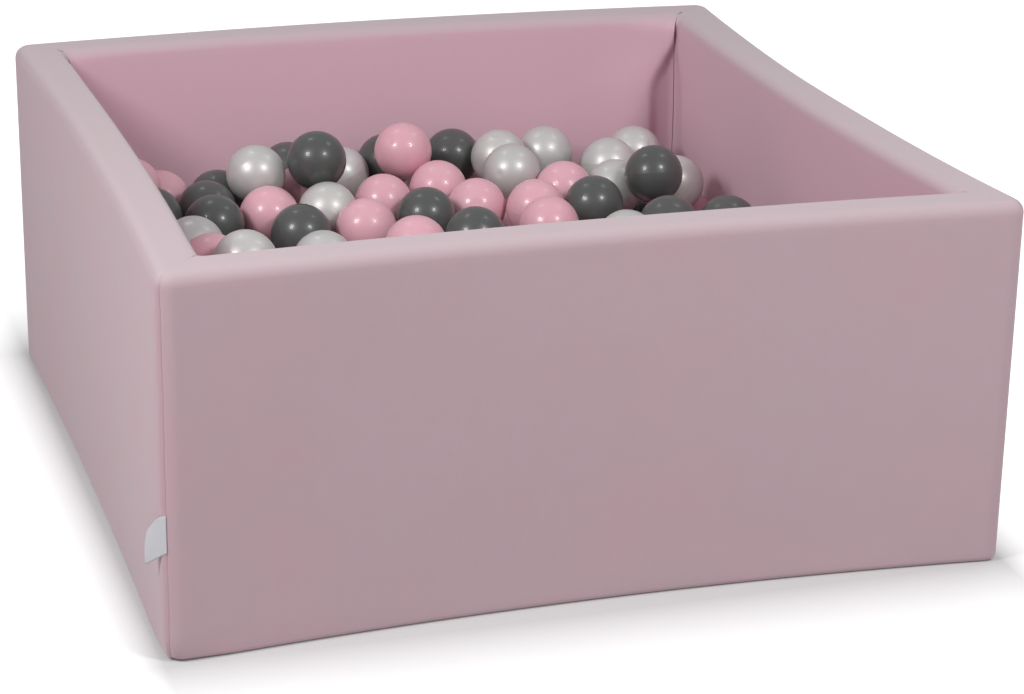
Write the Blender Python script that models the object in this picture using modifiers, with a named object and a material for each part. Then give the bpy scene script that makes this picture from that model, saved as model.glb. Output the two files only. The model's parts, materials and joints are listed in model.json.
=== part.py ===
"""Square ball pit: foam walls and floor in a sewn jersey cover with a zip, filled with loose play balls.

Metres, +Z up. The origin is the centre of the underside, and the front faces -Y.
"""

import math

import bmesh
import bpy
from mathutils import Matrix, Vector
from mathutils.bvhtree import BVHTree

# Driving dimensions
OUTER_SIDE = 0.900
OUTER_HEIGHT = 0.400
FOAM_THICKNESS = 0.048
FLOOR_FOAM_THICKNESS = 0.045
COVER_THICKNESS = 0.0015
FOAM_EASE = 0.0017
FIT_GAP = 0.0003
MITRE_GAP = 0.0008
CORNER_RADIUS = 0.020
RIM_RADIUS = 0.014
BASE_RADIUS = 0.012
BASE_LAP = 0.040

# How far the middle of each wall stands in from a straight line, at its foot and at its rim
FRONT_BOW_LOW = 0.026
FRONT_BOW_HIGH = 0.017
LEFT_BOW_LOW = 0.006
LEFT_BOW_HIGH = 0.011
RIGHT_BOW_LOW = 0.006
RIGHT_BOW_HIGH = 0.024
BACK_BULGE_HIGH = 0.022
STRAIGHT_FOOT_HEIGHT = 0.050

# Balls
BALL_DIAMETER = 0.070
BALL_WALL_GAP = 0.0012
BED_LEVEL = 0.178
BED_PITCH = 0.0725
BED_FILL_RISE = 0.004
BED_JOIN_DEPTH = 0.008
BANK_RISE = 0.060
BANK_SHARE = 0.22

# Zip along the foot of the back wall
ZIP_LENGTH = 0.780
ZIP_HEIGHT = 0.030
ZIP_TAPE_WIDTH = 0.024
ZIP_TAPE_THICKNESS = 0.0008
ZIP_COIL_WIDTH = 0.0060
ZIP_COIL_THICKNESS = 0.0020
SLIDER_LENGTH = 0.014
SLIDER_WALL = 0.0012
SLIDER_CHEEK = 0.0018
SLIDER_PLACE = 0.360
LUG_LENGTH = 0.0045
LUG_THICKNESS = 0.0014
PULL_LENGTH = 0.026
PULL_WIDTH = 0.0052
PULL_THICKNESS = 0.0014
PULL_EYE_RADIUS = 0.0016

# Label loop in the front left corner seam
LABEL_WIDTH = 0.024
LABEL_HEIGHT = 0.046
LABEL_THICKNESS = 0.0012
LABEL_FOOT = 0.106

# Mesh steps
STRAIGHT_STEPS = 8
CORNER_STEPS = 2
ROUND_STEPS = 3
HEIGHT_STEPS = 3
BALL_SEGMENTS = 8
BALL_RINGS = 6
PULL_EYE_SEGMENTS = 16
SHARP_EDGE_DEGREES = 40

# Worked out
HALF = OUTER_SIDE / 2
FOAM_DEPTH = COVER_THICKNESS + FOAM_EASE
WALL_THICKNESS = FOAM_THICKNESS + 2 * FOAM_DEPTH
INNER_HALF = HALF - WALL_THICKNESS
FLOOR_TOP = FLOOR_FOAM_THICKNESS + 2 * (COVER_THICKNESS + FIT_GAP)
BALL_RADIUS = BALL_DIAMETER / 2
BALL_REACH = BALL_DIAMETER + FIT_GAP
BALL_FREE_HALF = INNER_HALF - BALL_RADIUS - BALL_WALL_GAP
BANK_SLOPE = BANK_RISE / (BANK_SHARE * 2 * BALL_FREE_HALF)

SIDES = {"front": 0, "right": 1, "back": 2, "left": 3}

# Colour, roughness and metallic value of each material
FINISHES = {
    "jersey": ((0.590, 0.395, 0.440, 1.0), 0.85, 0.0),
    "foam": ((0.800, 0.780, 0.720, 1.0), 0.95, 0.0),
    "zip_tape": ((0.560, 0.380, 0.425, 1.0), 0.80, 0.0),
    "zip_metal": ((0.560, 0.560, 0.570, 1.0), 0.30, 0.9),
    "label": ((0.820, 0.820, 0.840, 1.0), 0.60, 0.0),
    "pink": ((0.700, 0.350, 0.420, 1.0), 0.15, 0.0),
    "pearl": ((0.620, 0.620, 0.610, 1.0), 0.22, 0.0),
    "grey": ((0.075, 0.085, 0.080, 1.0), 0.12, 0.0),
}

# Balls joined to the top of the bed, which hold up loose ones: shares across and along the free inner space
BED_TOP_SHARES = (
    (0.30, 0.41),
    (0.48, 0.41),
)

# Loose balls, each let down on those before it: finish, then shares across and along the free inner space
BALL_SHARES = (
    ("pearl", 0.40, 0.94),
    ("grey", 0.32, 1.00),
    ("grey", 0.17, 0.88),
    ("pink", 0.07, 0.88),
    ("grey", 0.49, 0.98),
    ("grey", 0.62, 1.00),
    ("pearl", 0.68, 0.93),
    ("pearl", 0.78, 0.97),
    ("pearl", 0.94, 0.95),
    ("pearl", 0.87, 0.88),
    ("pearl", 0.96, 0.78),
    ("pink", 0.01, 0.82),
    ("grey", 0.13, 0.79),
    ("pink", 0.31, 0.86),
    ("pink", 0.43, 0.77),
    ("pink", 0.54, 0.82),
    ("pink", 0.75, 0.77),
    ("pearl", 0.85, 0.78),
    ("grey", 0.85, 0.52),
    ("grey", 0.02, 0.71),
    ("grey", 0.12, 0.69),
    ("grey", 0.25, 0.62),
    ("pink", 0.22, 0.72),
    ("pink", 0.36, 0.62),
    ("pearl", 0.32, 0.72),
    ("grey", 0.95, 0.51),
    ("grey", 0.48, 0.68),
    ("pink", 0.58, 0.72),
    ("pink", 0.67, 0.67),
    ("grey", 0.77, 0.66),
    ("pearl", 0.76, 0.47),
    ("pearl", 0.05, 0.53),
    ("pink", 0.06, 0.42),
    ("pearl", 0.09, 0.34),
    ("pink", 0.38, 0.41),
    ("grey", 0.52, 0.53),
    ("pink", 0.66, 0.57),
    ("pearl", 0.26, 0.52),
    ("pearl", 0.22, 0.82),
    ("grey", 0.32, 0.79),
    ("pink", 0.50, 0.89),
    ("pearl", 0.68, 0.83),
    ("grey", 0.89, 0.71),
)


def bow_at(low, high, height):
    """Bow of a wall at one height: its foot is straight up to the top of the zip."""
    lift = max(0.0, (height - STRAIGHT_FOOT_HEIGHT) / (OUTER_HEIGHT - STRAIGHT_FOOT_HEIGHT))
    return low + (high - low) * lift


def bowed(point):
    """Carries a point of the straight-sided pit to its place in the bowed one."""
    x, y, z = point
    across = 1 - (x / HALF) ** 2
    along = 1 - (y / HALF) ** 2
    front = bow_at(FRONT_BOW_LOW, FRONT_BOW_HIGH, z) * (HALF - y) / OUTER_SIDE
    back = bow_at(0.0, BACK_BULGE_HIGH, z) * (HALF + y) / OUTER_SIDE
    left = bow_at(LEFT_BOW_LOW, LEFT_BOW_HIGH, z) * (HALF - x) / OUTER_SIDE
    right = bow_at(RIGHT_BOW_LOW, RIGHT_BOW_HIGH, z) * (HALF + x) / OUTER_SIDE
    return Vector((x + along * (left - right), y + across * (front + back), z))


def wall_point(side, along_share, depth, height):
    """A place on one wall: along_share runs from -1 to 1 between its mitres, depth from its outer face in."""
    radius = max(CORNER_RADIUS - depth, 0.0)
    straight = HALF - max(depth, CORNER_RADIUS)
    run = abs(along_share) * (straight + radius * math.pi / 4 - MITRE_GAP)
    along, inward = run, depth
    if run > straight:
        turn = (run - straight) / radius
        along = straight + radius * math.sin(turn)
        inward = CORNER_RADIUS - radius * math.cos(turn)
    flat = Vector((math.copysign(along, along_share), inward - HALF, height))
    return bowed(Matrix.Rotation(SIDES[side] * math.pi / 2, 3, "Z") @ flat)


def along_shares():
    """Steps along a wall, from one mitre to the other, closer together where it turns the corner."""
    corner = 1 - CORNER_RADIUS * math.pi / 4 / HALF
    ends = [corner + (1 - corner) * step / CORNER_STEPS for step in range(1, CORNER_STEPS + 1)]
    middle = [corner * (2 * step / STRAIGHT_STEPS - 1) for step in range(STRAIGHT_STEPS + 1)]
    return [-share for share in reversed(ends)] + middle + ends


def round_edge(centre_depth, centre_height, radius, first_angle):
    """Quarter round in the plane of depth and height, turning clockwise from first_angle."""
    angles = [first_angle - math.pi / 2 * step / ROUND_STEPS for step in range(ROUND_STEPS + 1)]
    return [(centre_depth + radius * math.cos(a), centre_height + radius * math.sin(a)) for a in angles]


def upright(depth, low, high):
    """Places between two heights of a wall's face, both left out."""
    return [(depth, low + (high - low) * step / HEIGHT_STEPS) for step in range(1, HEIGHT_STEPS)]


def cover_profile():
    """Depth and height round a cover panel's outer surface: under the foam, up, over the rim and down."""
    foot = round_edge(BASE_RADIUS, BASE_RADIUS, BASE_RADIUS, -math.pi / 2)
    outer_rim = round_edge(RIM_RADIUS, OUTER_HEIGHT - RIM_RADIUS, RIM_RADIUS, math.pi)
    inner_rim = round_edge(WALL_THICKNESS - RIM_RADIUS, OUTER_HEIGHT - RIM_RADIUS, RIM_RADIUS, math.pi / 2)
    leg_end = FLOOR_TOP - COVER_THICKNESS
    return (
        [(BASE_LAP, 0.0)]
        + foot
        + [(0.0, STRAIGHT_FOOT_HEIGHT)]
        + upright(0.0, STRAIGHT_FOOT_HEIGHT, OUTER_HEIGHT - RIM_RADIUS)
        + outer_rim
        + inner_rim
        + upright(WALL_THICKNESS, OUTER_HEIGHT - RIM_RADIUS, leg_end)
        + [(WALL_THICKNESS, leg_end)]
    )


def foam_rows():
    """Outer depth, inner depth and height of a foam wall's rows, which the cover goes round with some ease."""
    outer, inner, top = FOAM_DEPTH, WALL_THICKNESS - FOAM_DEPTH, OUTER_HEIGHT - FOAM_DEPTH
    base, foot, rim = COVER_THICKNESS + FIT_GAP, BASE_RADIUS - COVER_THICKNESS, RIM_RADIUS - COVER_THICKNESS
    return (
        [(outer + foot, inner, base), (outer, inner, base + foot), (outer, inner, STRAIGHT_FOOT_HEIGHT)]
        + [(outer, inner, height) for _, height in upright(outer, STRAIGHT_FOOT_HEIGHT, top - rim)]
        + [(outer, inner, top - rim), (outer + rim, inner - rim, top)]
    )


def mesh_from(name, bm, material):
    """Finishes a bmesh as a mesh with its material."""
    mesh = bpy.data.meshes.new(name)
    bm.to_mesh(mesh)
    bm.free()
    mesh.materials.append(material)
    mesh.shade_smooth()
    mesh.set_sharp_from_angle(angle=math.radians(SHARP_EDGE_DEGREES))
    return mesh


def object_from(name, bm, collection, material):
    """Finishes a bmesh as an object of the pit."""
    obj = bpy.data.objects.new(name, mesh_from(name, bm, material))
    collection.objects.link(obj)
    return obj


def grid_on(place, shares, rows):
    """A grid whose columns are shares and whose rows are (depth, height), laid out by place."""
    bm = bmesh.new()
    columns, steps = len(shares) - 1, len(rows) - 1
    bmesh.ops.create_grid(bm, x_segments=columns, y_segments=steps, size=1)
    for vert in bm.verts:
        share = shares[round((vert.co.x + 1) / 2 * columns)]
        depth, height = rows[round((vert.co.y + 1) / 2 * steps)]
        vert.co = place(share, depth, height)
    return bm


def thicken(obj, thickness):
    """Gives an open sheet its thickness, inward from the surface that was laid out."""
    solid = obj.modifiers.new("thickness", "SOLIDIFY")
    solid.thickness = thickness
    solid.offset = -1
    solid.use_even_offset = True


def make_cover_panel(side, collection, material):
    bm = grid_on(lambda share, d, h: wall_point(side, share, d, h), along_shares(), cover_profile())
    thicken(object_from(f"cover_{side}_panel", bm, collection, material), COVER_THICKNESS)


def cube_cut(*axis_cuts):
    """A cube from -1 to 1, cut into even steps along X, Y and Z."""
    bm = bmesh.new()
    bmesh.ops.create_cube(bm, size=2)
    for axis, cuts in enumerate(axis_cuts):
        edges = [edge for edge in bm.edges if abs(edge.verts[0].co[axis] - edge.verts[1].co[axis]) > 1]
        if cuts:
            bmesh.ops.subdivide_edges(bm, edges=edges, cuts=cuts, use_grid_fill=True)
    return bm


def make_foam_wall(side, collection, material):
    shares, rows = along_shares(), foam_rows()
    bm = cube_cut(len(shares) - 2, 0, len(rows) - 2)
    for vert in bm.verts:
        share = shares[round((vert.co.x + 1) / 2 * (len(shares) - 1))]
        outer, inner, height = rows[round((vert.co.z + 1) / 2 * (len(rows) - 1))]
        vert.co = wall_point(side, share, outer if vert.co.y < 0 else inner, height)
    object_from(f"foam_wall_{side}", bm, collection, material)


def make_slab(name, half, low, high, collection, material):
    """A square slab inside the walls, with its edges following their bows."""
    bm = bmesh.new()
    bmesh.ops.create_cube(bm, size=2)
    level_edges = [edge for edge in bm.edges if abs(edge.verts[0].co.z - edge.verts[1].co.z) < 1]
    bmesh.ops.subdivide_edges(bm, edges=level_edges, cuts=STRAIGHT_STEPS - 1, use_grid_fill=True)
    for vert in bm.verts:
        vert.co = bowed((vert.co.x * half, vert.co.y * half, high if vert.co.z > 0 else low))
    object_from(name, bm, collection, material)


def bed_level(x, y):
    """Height of the bed's upper centres: level, but banked up by the left wall towards the front corner."""
    across_share = (x / BALL_FREE_HALF + 1) / 2
    along_share = (y / BALL_FREE_HALF + 1) / 2
    return BED_LEVEL + BANK_RISE * max(0.0, 1 - across_share / BANK_SHARE) * (1 - along_share)


def balls_mesh(centres, radius):
    """Balls whose facets all face the same ways, so that any two of them fit each other alike."""
    bm = bmesh.new()
    for centre in centres:
        bmesh.ops.create_uvsphere(
            bm,
            u_segments=BALL_SEGMENTS,
            v_segments=BALL_RINGS,
            radius=radius,
            matrix=Matrix.Translation(centre),
        )
    return bm


def touching_shape():
    """A ball of twice the size: two balls touch where one's centre meets this shape round the other's."""
    ball = balls_mesh([Vector()], BALL_REACH)
    shape = BVHTree.FromBMesh(ball)
    ball.free()
    return shape


def let_down(across_share, along_share, carriers, touching):
    """Centre of a ball let down over a place until it meets the bed's fill or the first ball under it."""
    x = (2 * across_share - 1) * BALL_FREE_HALF
    y = (2 * along_share - 1) * BALL_FREE_HALF
    place = bowed((x, y, BED_LEVEL + BALL_RADIUS))
    heights = [bed_level(x, y) + BED_FILL_RISE + FIT_GAP + BALL_RADIUS * math.hypot(1, BANK_SLOPE)]
    for carrier in carriers:
        above = Vector((place.x - carrier.x, place.y - carrier.y, 2 * BALL_REACH))
        met = touching.ray_cast(above, Vector((0, 0, -1)))[0]
        if met is not None:
            heights.append(carrier.z + met.z)
    place.z = max(heights)
    return place


def bed_centres():
    """Centres of the bed's upper balls, row by row, every other row set half a pitch along."""
    row_pitch = BED_PITCH * math.sqrt(3) / 2
    rows = int(2 * BALL_FREE_HALF / row_pitch) + 1
    columns = int((2 * BALL_FREE_HALF - BED_PITCH / 2) / BED_PITCH) + 1
    column_step = (2 * BALL_FREE_HALF - BED_PITCH / 2) / (columns - 1)
    row_step = 2 * BALL_FREE_HALF / (rows - 1)
    centres = []
    for row in range(rows):
        start = BED_PITCH / 2 * (row % 2) - BALL_FREE_HALF
        for column in range(columns):
            x, y = start + column * column_step, row * row_step - BALL_FREE_HALF
            centres.append(bowed((x, y, bed_level(x, y))))
    return centres


def bed_top_centres(touching):
    """Centres of the balls joined to the top of the bed, sunk a little into those that carry them."""
    centres = bed_centres()
    sunk = Vector((0, 0, BED_JOIN_DEPTH))
    return [let_down(across, along, centres, touching) - sunk for across, along in BED_TOP_SHARES]


def join_with(obj, helper_name, helper_bm, cutters):
    """Joins shapes that overlap an object to it, as one body."""
    helper = object_from(helper_name, helper_bm, cutters, obj.data.materials[0])
    helper.location = obj.location
    helper.hide_render = True
    helper.display_type = "WIRE"
    join = obj.modifiers.new("joined", "BOOLEAN")
    join.operation = "UNION"
    join.object = helper


def make_bed(top_centres, parts, cutters, material):
    """The lower balls as one solid, creased at the foot of the bank, with its upper balls' round tops."""
    fill = cube_cut(1, STRAIGHT_STEPS - 1, 0)
    for vert in fill.verts:
        at_end = abs(round(vert.co.x)) == 1
        across = vert.co.x if at_end else 2 * BANK_SHARE - 1
        x, y = across * BALL_FREE_HALF, vert.co.y * BALL_FREE_HALF
        vert.co = bowed((x, y, bed_level(x, y) + BED_FILL_RISE if vert.co.z > 0 else FLOOR_TOP + FIT_GAP))
    bed = object_from("ball_bed", fill, parts, material)
    for name, centres in (("ball_bed_upper", bed_centres()), ("ball_bed_top", top_centres)):
        join_with(bed, name, balls_mesh(centres, BALL_RADIUS), cutters)


def make_loose_balls(top_centres, touching, collection, materials):
    """Lets each ball down on the bed and on the balls before it."""
    meshes = {}
    for finish in ("pink", "pearl", "grey"):
        ball = balls_mesh([Vector()], BALL_RADIUS)
        meshes[finish] = mesh_from(f"ball_{finish}", ball, materials[finish])
    carriers = bed_centres() + top_centres
    for number, (finish, across_share, along_share) in enumerate(BALL_SHARES, 1):
        place = let_down(across_share, along_share, carriers, touching)
        carriers.append(place)
        ball = bpy.data.objects.new(f"ball_{number:02d}_{finish}", meshes[finish])
        ball.location = place
        collection.objects.link(ball)


def add_box(bm, low, high):
    """Adds a box between two corners."""
    low, high = Vector(low), Vector(high)
    place = Matrix.Translation((low + high) / 2) @ Matrix.Diagonal((high - low).to_4d())
    bmesh.ops.create_cube(bm, size=1, matrix=place)
    return bm


def make_zip(parts, cutters, materials):
    """Tape and coil along the straight foot of the back wall, with the slider's cheeks round the coil."""
    tape_face = FIT_GAP + ZIP_TAPE_THICKNESS
    coil_face = tape_face + FIT_GAP + ZIP_COIL_THICKNESS
    plate_in = coil_face + FIT_GAP
    plate_out = plate_in + SLIDER_WALL
    for name, width, base, face in (
        ("zip_tape", ZIP_TAPE_WIDTH, FIT_GAP, tape_face),
        ("zip_coil", ZIP_COIL_WIDTH, tape_face + FIT_GAP, coil_face),
    ):
        strip = add_box(bmesh.new(), (-ZIP_LENGTH / 2, base, -width / 2), (ZIP_LENGTH / 2, face, width / 2))
        object_from(name, strip, parts, materials["zip_tape"]).location = (0, HALF, ZIP_HEIGHT)

    cheek_in = ZIP_COIL_WIDTH / 2 + FIT_GAP
    cheek_out = cheek_in + SLIDER_CHEEK
    reach = SLIDER_LENGTH / 2
    plate = add_box(bmesh.new(), (-reach, plate_in, -cheek_out), (reach, plate_out, cheek_out))
    slider = object_from("zip_slider", plate, parts, materials["zip_metal"])
    slider.location = (SLIDER_PLACE, HALF, ZIP_HEIGHT)

    pivot = plate_out + FIT_GAP + PULL_EYE_RADIUS
    lug_in = PULL_WIDTH / 2 + FIT_GAP
    fins = bmesh.new()
    for up in (-1, 1):
        cheek = sorted((up * cheek_in, up * cheek_out))
        lug = sorted((up * lug_in, up * (lug_in + LUG_THICKNESS)))
        add_box(fins, (-reach, tape_face + FIT_GAP, cheek[0]), (reach, plate_in + SLIDER_WALL / 2, cheek[1]))
        add_box(fins, (-LUG_LENGTH / 2, plate_in + SLIDER_WALL / 2, lug[0]), (LUG_LENGTH / 2, pivot, lug[1]))
    join_with(slider, "zip_slider_fins", fins, cutters)

    eye = bmesh.new()
    bmesh.ops.create_cone(
        eye,
        cap_ends=True,
        segments=PULL_EYE_SEGMENTS,
        radius1=PULL_EYE_RADIUS,
        radius2=PULL_EYE_RADIUS,
        depth=PULL_WIDTH,
    )
    pull = object_from("zip_pull_tab", eye, parts, materials["zip_metal"])
    pull.location = (SLIDER_PLACE, HALF + pivot, ZIP_HEIGHT)
    face, edge = PULL_THICKNESS / 2, PULL_WIDTH / 2 - FIT_GAP
    blade = add_box(bmesh.new(), (-PULL_LENGTH, -face, -edge), (0, face, edge))
    join_with(pull, "zip_pull_blade", blade, cutters)


def make_label(collection, material):
    """A folded loop sewn into the front left corner seam, standing off the corner along its tangent."""
    seam = HALF - CORNER_RADIUS * (1 - math.cos(math.pi / 4))
    loop = add_box(bmesh.new(), (0, FIT_GAP, 0), (LABEL_WIDTH, FIT_GAP + LABEL_THICKNESS, LABEL_HEIGHT))
    label = object_from("side_label", loop, collection, material)
    label.location = bowed((-seam, -seam, LABEL_FOOT))
    label.rotation_euler.z = math.pi * 3 / 4


def make_material(name):
    colour, roughness, metallic = FINISHES[name]
    material = bpy.data.materials.new(name)
    material.use_nodes = True
    shader = material.node_tree.nodes["Principled BSDF"]
    shader.inputs["Base Color"].default_value = colour
    shader.inputs["Roughness"].default_value = roughness
    shader.inputs["Metallic"].default_value = metallic
    return material


def main():
    for obj in list(bpy.data.objects):
        bpy.data.objects.remove(obj, do_unlink=True)
    parts = bpy.data.collections.new("ball_pit")
    cutters = bpy.data.collections.new("joined_shapes")
    for collection in (parts, cutters):
        bpy.context.scene.collection.children.link(collection)
    materials = {name: make_material(name) for name in FINISHES}

    for side in SIDES:
        make_cover_panel(side, parts, materials["jersey"])
        make_foam_wall(side, parts, materials["foam"])
    foam_low = COVER_THICKNESS + FIT_GAP
    panel_low = FLOOR_TOP - COVER_THICKNESS
    for name, half, low, high, material in (
        ("cover_base_panel", HALF - BASE_LAP - FIT_GAP, 0.0, COVER_THICKNESS, "jersey"),
        ("foam_floor", INNER_HALF + FOAM_DEPTH - FIT_GAP, foam_low, foam_low + FLOOR_FOAM_THICKNESS, "foam"),
        ("cover_floor_panel", INNER_HALF - FIT_GAP, panel_low, FLOOR_TOP, "jersey"),
    ):
        make_slab(name, half, low, high, parts, materials[material])
    touching = touching_shape()
    top_centres = bed_top_centres(touching)
    make_bed(top_centres, parts, cutters, materials["grey"])
    make_loose_balls(top_centres, touching, parts, materials)
    make_zip(parts, cutters, materials)
    make_label(parts, materials["label"])


main()
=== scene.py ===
import json
import math
import random

import bmesh
import bpy
import numpy as np
from mathutils import Matrix, Vector, noise

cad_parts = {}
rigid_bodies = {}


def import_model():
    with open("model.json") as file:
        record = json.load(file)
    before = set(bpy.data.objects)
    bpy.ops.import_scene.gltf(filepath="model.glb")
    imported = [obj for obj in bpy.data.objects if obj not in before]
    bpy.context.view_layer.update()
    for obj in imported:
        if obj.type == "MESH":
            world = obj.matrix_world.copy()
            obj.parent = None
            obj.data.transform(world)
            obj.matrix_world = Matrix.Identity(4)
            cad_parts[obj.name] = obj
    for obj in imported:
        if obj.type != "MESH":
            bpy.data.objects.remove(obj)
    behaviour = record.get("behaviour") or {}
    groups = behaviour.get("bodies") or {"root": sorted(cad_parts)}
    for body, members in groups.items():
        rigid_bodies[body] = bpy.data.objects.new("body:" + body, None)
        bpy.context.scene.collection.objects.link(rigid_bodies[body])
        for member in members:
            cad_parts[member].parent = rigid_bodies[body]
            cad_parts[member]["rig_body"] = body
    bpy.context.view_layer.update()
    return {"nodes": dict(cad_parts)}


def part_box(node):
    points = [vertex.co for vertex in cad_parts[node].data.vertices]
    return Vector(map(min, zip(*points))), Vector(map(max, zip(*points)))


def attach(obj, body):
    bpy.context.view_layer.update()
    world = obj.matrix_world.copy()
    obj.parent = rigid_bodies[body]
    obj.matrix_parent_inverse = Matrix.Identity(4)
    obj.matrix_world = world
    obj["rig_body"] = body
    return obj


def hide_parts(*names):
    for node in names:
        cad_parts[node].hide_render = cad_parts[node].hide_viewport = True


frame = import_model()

scene = bpy.context.scene

# The pit's own form, in metres: the solids are laid out by the same sizes, apart from the foot and its tuck
pit = {
    "half": 0.450,
    "height": 0.400,
    "wallThickness": 0.0544,
    "cornerRadius": 0.020,
    "rimRadius": 0.014,
    "footRadius": 0.007,
    "baseLap": 0.040,
    "floorTop": 0.0486,
    "straightFootHeight": 0.050,
    "tuck": 0.0068,                 # how far the near corner's foot stands in, each way
    "tuckHeight": 0.030,
    "tuckReach": 0.080,
    "frontBow": (0.026, 0.017),     # how far the middle stands in, at the foot and at the rim
    "leftBow": (0.006, 0.011),
    "rightBow": (0.006, 0.024),
    "backBow": (0.0, 0.022),
}
sideTurns = {"front": 0, "right": 1, "back": 2, "left": 3}


def bowAt(side, height):
    low, high = pit[side + "Bow"]
    rise = max(0.0, (height - pit["straightFootHeight"]) / (pit["height"] - pit["straightFootHeight"]))
    return low + (high - low) * rise


def bowed(point):
    x, y, z = point
    half = pit["half"]
    across, along = 1 - (x / half) ** 2, 1 - (y / half) ** 2
    front = bowAt("front", z) * (half - y) / (2 * half)
    back = bowAt("back", z) * (half + y) / (2 * half)
    left = bowAt("left", z) * (half - x) / (2 * half)
    right = bowAt("right", z) * (half + x) / (2 * half)
    return Vector((x + along * (left - right), y + across * (front + back), z))


def smoothStep(low, high, value):
    share = min(max((value - low) / (high - low), 0.0), 1.0)
    return share * share * (3 - 2 * share)


def tucked(point):
    # the near corner is worn round at its foot, foam and cloth alike
    fromCorner = math.hypot(point.x + pit["half"], point.y + pit["half"])
    near = smoothStep(pit["tuckReach"], 0.0, fromCorner)
    low = 1 - min(max(point.z / pit["tuckHeight"], 0.0), 1.0)
    inward = pit["tuck"] * near * (1 - math.sqrt(1 - low * low))
    return point + Vector((inward, inward, 0))


def wallReach(depth):
    # from the middle of a wall to its corner seam, along the cloth
    radius = max(pit["cornerRadius"] - depth, 0.0)
    return pit["half"] - max(depth, pit["cornerRadius"]) + radius * math.pi / 4


def wallPoint(side, travel, depth, height, innerRound=0.0):
    # travel runs along the wall from its middle, and turns half the corner at each end
    radius = max(pit["cornerRadius"] - depth, 0.0)
    straight = pit["half"] - max(depth, pit["cornerRadius"])
    run = abs(travel)
    along, inward = run, depth
    if radius > 0 and run > straight:
        turn = (run - straight) / radius
        along = straight + radius * math.sin(turn)
        inward = pit["cornerRadius"] - radius * math.cos(turn)
    elif innerRound > 0 and run > straight - innerRound:
        turn = (1 - (straight - run) / innerRound) * math.pi / 4
        along = straight - innerRound + innerRound * math.sin(turn)
        inward = depth + innerRound * (1 - math.cos(turn))
    flat = Vector((math.copysign(along, travel), inward - pit["half"], height))
    return tucked(bowed(Matrix.Rotation(sideTurns[side] * math.pi / 2, 3, "Z") @ flat))


def newPiece(name, bm, material, body="pit", replaces=()):
    mesh = bpy.data.meshes.new(name)
    bm.to_mesh(mesh)
    bm.free()
    mesh.materials.append(material)
    mesh.shade_smooth()
    piece = bpy.data.objects.new(name, mesh)
    scene.collection.objects.link(piece)
    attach(piece, body)
    if replaces:
        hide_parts(*replaces)
    return piece


def addModifier(piece, kind, **settings):
    modifier = piece.modifiers.new(kind.title(), kind)
    for key, value in settings.items():
        setattr(modifier, key, value)


def bevelEdges(bm, edges, width, segments):
    bmesh.ops.bevel(
        bm, geom=edges, offset=width, segments=segments, affect="EDGES", profile=0.5, material=-1)


def sharpEdges(bm, degrees):
    return [e for e in bm.edges if e.calc_face_angle(0) > math.radians(degrees)]


def newCloth(across, along):
    # a grid from -1 to 1, with the UV map that the weave follows
    bm = bmesh.new()
    bm.loops.layers.uv.new("cloth")
    bmesh.ops.create_grid(bm, x_segments=across, y_segments=along, size=1)
    return bm


def layCloth(bm, flat):
    # flat holds the place of each vertex on the cloth, laid out
    cloth = bm.loops.layers.uv["cloth"]
    for face in bm.faces:
        for loop in face.loops:
            loop[cloth].uv = flat[loop.vert]


def newMaterial(name, color, **sockets):
    material = bpy.data.materials.new(name)
    material.use_nodes = True
    shader = material.node_tree.nodes["Principled BSDF"]
    shader.inputs["Base Color"].default_value = (*color, 1)
    for socket, value in sockets.items():
        shader.inputs[socket.replace("_", " ")].default_value = value
    return material, material.node_tree, shader


def addNode(tree, kind, inputs=None, **settings):
    node = tree.nodes.new("ShaderNode" + kind)
    for key, value in settings.items():
        setattr(node, key, value)
    for socket, value in (inputs or {}).items():
        if isinstance(value, bpy.types.NodeSocket):
            tree.links.new(value, node.inputs[socket])
        else:
            node.inputs[socket].default_value = value
    return node


def maths(tree, operation, first, second=0.0):
    return addNode(tree, "Math", {0: first, 1: second}, operation=operation).outputs[0]


def blendColors(tree, share, first, second):
    # first and second are colours, or first is the output of an earlier blend
    mix = addNode(tree, "Mix", {"Factor": share}, data_type="RGBA")
    for socket, color in ((6, first), (7, second)):
        if isinstance(color, bpy.types.NodeSocket):
            tree.links.new(color, mix.inputs[socket])
        else:
            mix.inputs[socket].default_value = (*color, 1)
    return mix.outputs[2]


def objectPlace(tree):
    return addNode(tree, "TexCoord").outputs["Object"]


def axesOf(tree, place):
    return addNode(tree, "SeparateXYZ", {"Vector": place}).outputs


def clothPlace(tree):
    return addNode(tree, "UVMap", uv_map="cloth").outputs["UV"]


def placeNoise(tree, scale, detail=2.0, roughness=0.5, stretch=(1, 1, 1)):
    place = addNode(tree, "Mapping", {"Vector": objectPlace(tree), "Scale": stretch}).outputs["Vector"]
    pattern = {"Vector": place, "Scale": scale, "Detail": detail, "Roughness": roughness}
    return addNode(tree, "TexNoise", pattern).outputs["Fac"]


def wave(tree, along, pitch, shift=None):
    # a sine, one turn for each pitch
    turn = maths(tree, "MULTIPLY", along, math.tau / pitch)
    return maths(tree, "SINE", turn if shift is None else maths(tree, "ADD", turn, shift))


def bump(tree, shader, height, strength, distance):
    node = addNode(tree, "Bump", {"Height": height, "Strength": strength, "Distance": distance})
    tree.links.new(node.outputs["Normal"], shader.inputs["Normal"])


def spread(tree, value, low, high):
    # a noise, which keeps mostly between 0.3 and 0.7, brought between two values
    limits = {"Value": value, "From Min": 0.3, "From Max": 0.7, "To Min": low, "To Max": high}
    return addNode(tree, "MapRange", limits).outputs[0]


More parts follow.
